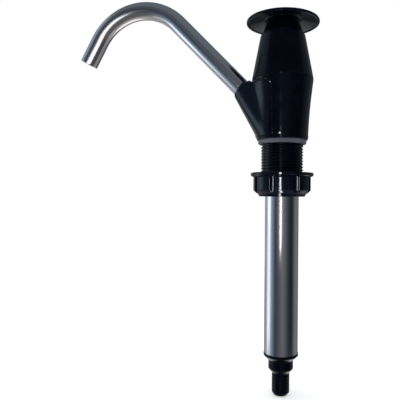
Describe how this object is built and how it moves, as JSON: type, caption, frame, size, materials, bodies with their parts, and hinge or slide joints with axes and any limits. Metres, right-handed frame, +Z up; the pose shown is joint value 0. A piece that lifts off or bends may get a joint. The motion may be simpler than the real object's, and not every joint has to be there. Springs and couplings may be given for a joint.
{
  "type": "water jug hand pump",
  "caption": "Lift pump for a water jug: mushroom knob, black conical head, hooked chrome spout, threaded shank with clamp nut, chrome barrel and hose spigot.",
  "frame": {"origin": "on the pump's axis, in the underside of the deck gasket, where the pump sits on the lid of the jug", "axes": "+Z up along the barrel and the plunger's stroke; the spout reaches out towards -X in the XZ plane; Y across it"},
  "size_m": [0.2239, 0.0616, 0.3455],
  "materials": {
    "black_plastic": "polished injection moulding",
    "chrome_tube": "bright chrome plating",
    "gasket_rubber": "matt grey rubber",
    "seal_rubber": "matt black nitrile",
    "white_acetal": "turned acetal",
    "stainless_steel": "ground stainless steel"
  },
  "bodies": {
    "pump_body": {"head_body": "black_plastic", "head_cap": "black_plastic", "cap_o_ring": "seal_rubber", "rod_bushing": "white_acetal", "rod_seal": "seal_rubber", "gland_ring": "stainless_steel", "spout_tube": "chrome_tube", "spout_o_rings": "seal_rubber", "deck_gasket": "gasket_rubber", "barrel_tube": "chrome_tube", "barrel_o_ring": "seal_rubber", "foot_cap": "black_plastic", "foot_o_ring": "seal_rubber", "foot_valve_cage": "white_acetal"},
    "foot_valve": {"foot_valve_ball": "stainless_steel"},
    "piston": {"piston_body": "white_acetal", "piston_cup": "seal_rubber", "valve_stop": "white_acetal"},
    "piston_valve": {"piston_valve_disc": "seal_rubber"},
    "handle": {"plunger_rod": "stainless_steel", "rod_clip": "stainless_steel", "stop_collar": "stainless_steel", "knob": "black_plastic", "knob_screw": "stainless_steel", "knob_plug": "black_plastic"},
    "clamp_washer": {"clamp_washer": "black_plastic"},
    "mounting_nut": {"mounting_nut": "black_plastic"}
  },
  "joints": [
    {"name": "plunger_stroke", "type": "slide", "parent": "pump_body", "child": "piston", "axis": [0, 0, 1], "range_m": [0, 0.14]},
    {"name": "handle_spin", "type": "hinge", "parent": "piston", "child": "handle", "pos_m": [0, 0, 0.1], "axis": [0, 0, 1], "continuous": true},
    {"name": "piston_valve_lift", "type": "slide", "parent": "piston", "child": "piston_valve", "axis": [0, 0, 1], "range_m": [0, 0.0025]},
    {"name": "foot_valve_lift", "type": "slide", "parent": "pump_body", "child": "foot_valve", "axis": [0, 0, 1], "range_m": [0, 0.004]},
    {"name": "nut_travel", "type": "slide", "parent": "pump_body", "child": "clamp_washer", "axis": [0, 0, 1], "range_m": [0, 0.02287]},
    {"name": "nut_spin", "type": "hinge", "parent": "clamp_washer", "child": "mounting_nut", "pos_m": [0, 0, -0.0355], "axis": [0, 0, 1], "range_deg": [0, 3240]}
  ],
  "couplings": [
    {"joint": "nut_travel", "follows": "nut_spin", "m_per_rad": 0.00040425}
  ]
}
